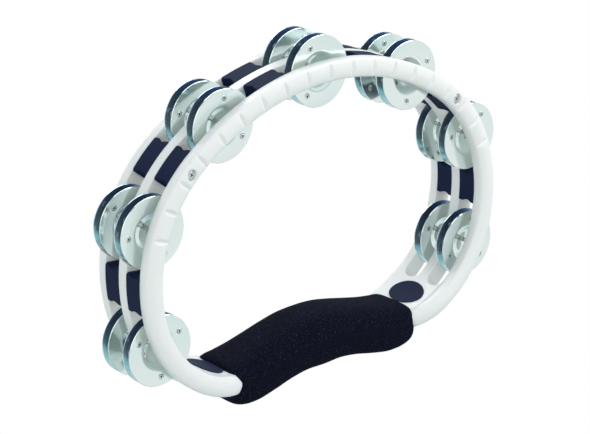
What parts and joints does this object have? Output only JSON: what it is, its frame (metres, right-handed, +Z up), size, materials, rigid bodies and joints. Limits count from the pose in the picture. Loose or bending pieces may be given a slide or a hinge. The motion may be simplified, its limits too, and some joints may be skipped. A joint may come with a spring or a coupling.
{
  "type": "tambourine",
  "caption": "Hand-held tambourine: a flattened open ring frame with double rows of steel jingle pairs on pins and a foam-covered grip bar across its foot.",
  "frame": {"origin": "centre of the bounding box on its lowest plane, under the grip", "axes": "+X across the ring from the left end of the grip to the right, +Y along the ring's axis from the front face to the rear, +Z up from the grip to the top of the ring"},
  "size_m": [0.2828, 0.0472, 0.2117],
  "materials": {
    "shell": "satin white moulding",
    "insert": "satin dark navy",
    "plate": "plain dark navy, bare",
    "foam": "fine closed-cell foam",
    "jingle_steel": "polished",
    "pin_steel": "drawn",
    "screw_steel": "zinc plated"
  },
  "bodies": {
    "frame": {"frame_body": "shell", "front_ring": "shell", "grip_sleeve": "foam", "jingle_pin_1": "pin_steel", "jingle_pin_2": "pin_steel", "jingle_pin_3": "pin_steel", "jingle_pin_4": "pin_steel", "jingle_pin_5": "pin_steel", "jingle_pin_6": "pin_steel", "jingle_pin_7": "pin_steel", "spacer_front_row_1": "insert", "spacer_rear_row_1": "insert", "spacer_front_row_2": "insert", "spacer_rear_row_2": "insert", "spacer_front_row_3": "insert", "spacer_rear_row_3": "insert", "spacer_front_row_4": "insert", "spacer_rear_row_4": "insert", "spacer_front_row_5": "insert", "spacer_rear_row_5": "insert", "spacer_front_row_6": "insert", "spacer_rear_row_6": "insert", "frame_screw_left": "screw_steel", "frame_screw_right": "screw_steel", "limb_plate_left": "plate", "limb_plate_right": "plate"},
    "jingle_front_row_1_front_body": {"jingle_front_row_1_front": "jingle_steel"},
    "jingle_front_row_1_rear_body": {"jingle_front_row_1_rear": "jingle_steel"},
    "jingle_rear_row_1_front_body": {"jingle_rear_row_1_front": "jingle_steel"},
    "jingle_rear_row_1_rear_body": {"jingle_rear_row_1_rear": "jingle_steel"},
    "jingle_front_row_2_front_body": {"jingle_front_row_2_front": "jingle_steel"},
    "jingle_front_row_2_rear_body": {"jingle_front_row_2_rear": "jingle_steel"},
    "jingle_rear_row_2_front_body": {"jingle_rear_row_2_front": "jingle_steel"},
    "jingle_rear_row_2_rear_body": {"jingle_rear_row_2_rear": "jingle_steel"},
    "jingle_front_row_3_front_body": {"jingle_front_row_3_front": "jingle_steel"},
    "jingle_front_row_3_rear_body": {"jingle_front_row_3_rear": "jingle_steel"},
    "jingle_rear_row_3_front_body": {"jingle_rear_row_3_front": "jingle_steel"},
    "jingle_rear_row_3_rear_body": {"jingle_rear_row_3_rear": "jingle_steel"},
    "jingle_front_row_4_front_body": {"jingle_front_row_4_front": "jingle_steel"},
    "jingle_front_row_4_rear_body": {"jingle_front_row_4_rear": "jingle_steel"},
    "jingle_rear_row_4_front_body": {"jingle_rear_row_4_front": "jingle_steel"},
    "jingle_rear_row_4_rear_body": {"jingle_rear_row_4_rear": "jingle_steel"},
    "jingle_front_row_5_front_body": {"jingle_front_row_5_front": "jingle_steel"},
    "jingle_front_row_5_rear_body": {"jingle_front_row_5_rear": "jingle_steel"},
    "jingle_rear_row_5_front_body": {"jingle_rear_row_5_front": "jingle_steel"},
    "jingle_rear_row_5_rear_body": {"jingle_rear_row_5_rear": "jingle_steel"},
    "jingle_front_row_6_front_body": {"jingle_front_row_6_front": "jingle_steel"},
    "jingle_front_row_6_rear_body": {"jingle_front_row_6_rear": "jingle_steel"},
    "jingle_rear_row_6_front_body": {"jingle_rear_row_6_front": "jingle_steel"},
    "jingle_rear_row_6_rear_body": {"jingle_rear_row_6_rear": "jingle_steel"},
    "jingle_front_row_7_front_body": {"jingle_front_row_7_front": "jingle_steel"},
    "jingle_front_row_7_rear_body": {"jingle_front_row_7_rear": "jingle_steel"},
    "jingle_rear_row_7_front_body": {"jingle_rear_row_7_front": "jingle_steel"},
    "jingle_rear_row_7_rear_body": {"jingle_rear_row_7_rear": "jingle_steel"}
  },
  "joints": [
    {"name": "jingle_front_row_1_front_slide", "type": "slide", "parent": "frame", "child": "jingle_front_row_1_front_body", "axis": [0, 1, 0], "range_m": [-0.0016, 0]},
    {"name": "jingle_front_row_1_rear_slide", "type": "slide", "parent": "frame", "child": "jingle_front_row_1_rear_body", "axis": [0, 1, 0], "range_m": [0, 0.0016]},
    {"name": "jingle_rear_row_1_front_slide", "type": "slide", "parent": "frame", "child": "jingle_rear_row_1_front_body", "axis": [0, 1, 0], "range_m": [-0.0016, 0]},
    {"name": "jingle_rear_row_1_rear_slide", "type": "slide", "parent": "frame", "child": "jingle_rear_row_1_rear_body", "axis": [0, 1, 0], "range_m": [0, 0.0016]},
    {"name": "jingle_front_row_2_front_slide", "type": "slide", "parent": "frame", "child": "jingle_front_row_2_front_body", "axis": [0, 1, 0], "range_m": [-0.0016, 0]},
    {"name": "jingle_front_row_2_rear_slide", "type": "slide", "parent": "frame", "child": "jingle_front_row_2_rear_body", "axis": [0, 1, 0], "range_m": [0, 0.0016]},
    {"name": "jingle_rear_row_2_front_slide", "type": "slide", "parent": "frame", "child": "jingle_rear_row_2_front_body", "axis": [0, 1, 0], "range_m": [-0.0016, 0]},
    {"name": "jingle_rear_row_2_rear_slide", "type": "slide", "parent": "frame", "child": "jingle_rear_row_2_rear_body", "axis": [0, 1, 0], "range_m": [0, 0.0016]},
    {"name": "jingle_front_row_3_front_slide", "type": "slide", "parent": "frame", "child": "jingle_front_row_3_front_body", "axis": [0, 1, 0], "range_m": [-0.0016, 0]},
    {"name": "jingle_front_row_3_rear_slide", "type": "slide", "parent": "frame", "child": "jingle_front_row_3_rear_body", "axis": [0, 1, 0], "range_m": [0, 0.0016]},
    {"name": "jingle_rear_row_3_front_slide", "type": "slide", "parent": "frame", "child": "jingle_rear_row_3_front_body", "axis": [0, 1, 0], "range_m": [-0.0016, 0]},
    {"name": "jingle_rear_row_3_rear_slide", "type": "slide", "parent": "frame", "child": "jingle_rear_row_3_rear_body", "axis": [0, 1, 0], "range_m": [0, 0.0016]},
    {"name": "jingle_front_row_4_front_slide", "type": "slide", "parent": "frame", "child": "jingle_front_row_4_front_body", "axis": [0, 1, 0], "range_m": [-0.0016, 0]},
    {"name": "jingle_front_row_4_rear_slide", "type": "slide", "parent": "frame", "child": "jingle_front_row_4_rear_body", "axis": [0, 1, 0], "range_m": [0, 0.0016]},
    {"name": "jingle_rear_row_4_front_slide", "type": "slide", "parent": "frame", "child": "jingle_rear_row_4_front_body", "axis": [0, 1, 0], "range_m": [-0.0016, 0]},
    {"name": "jingle_rear_row_4_rear_slide", "type": "slide", "parent": "frame", "child": "jingle_rear_row_4_rear_body", "axis": [0, 1, 0], "range_m": [0, 0.0016]},
    {"name": "jingle_front_row_5_front_slide", "type": "slide", "parent": "frame", "child": "jingle_front_row_5_front_body", "axis": [0, 1, 0], "range_m": [-0.0016, 0]},
    {"name": "jingle_front_row_5_rear_slide", "type": "slide", "parent": "frame", "child": "jingle_front_row_5_rear_body", "axis": [0, 1, 0], "range_m": [0, 0.0016]},
    {"name": "jingle_rear_row_5_front_slide", "type": "slide", "parent": "frame", "child": "jingle_rear_row_5_front_body", "axis": [0, 1, 0], "range_m": [-0.0016, 0]},
    {"name": "jingle_rear_row_5_rear_slide", "type": "slide", "parent": "frame", "child": "jingle_rear_row_5_rear_body", "axis": [0, 1, 0], "range_m": [0, 0.0016]},
    {"name": "jingle_front_row_6_front_slide", "type": "slide", "parent": "frame", "child": "jingle_front_row_6_front_body", "axis": [0, 1, 0], "range_m": [-0.0016, 0]},
    {"name": "jingle_front_row_6_rear_slide", "type": "slide", "parent": "frame", "child": "jingle_front_row_6_rear_body", "axis": [0, 1, 0], "range_m": [0, 0.0016]},
    {"name": "jingle_rear_row_6_front_slide", "type": "slide", "parent": "frame", "child": "jingle_rear_row_6_front_body", "axis": [0, 1, 0], "range_m": [-0.0016, 0]},
    {"name": "jingle_rear_row_6_rear_slide", "type": "slide", "parent": "frame", "child": "jingle_rear_row_6_rear_body", "axis": [0, 1, 0], "range_m": [0, 0.0016]},
    {"name": "jingle_front_row_7_front_slide", "type": "slide", "parent": "frame", "child": "jingle_front_row_7_front_body", "axis": [0, 1, 0], "range_m": [-0.0016, 0]},
    {"name": "jingle_front_row_7_rear_slide", "type": "slide", "parent": "frame", "child": "jingle_front_row_7_rear_body", "axis": [0, 1, 0], "range_m": [0, 0.0016]},
    {"name": "jingle_rear_row_7_front_slide", "type": "slide", "parent": "frame", "child": "jingle_rear_row_7_front_body", "axis": [0, 1, 0], "range_m": [-0.0016, 0]},
    {"name": "jingle_rear_row_7_rear_slide", "type": "slide", "parent": "frame", "child": "jingle_rear_row_7_rear_body", "axis": [0, 1, 0], "range_m": [0, 0.0016]}
  ]
}
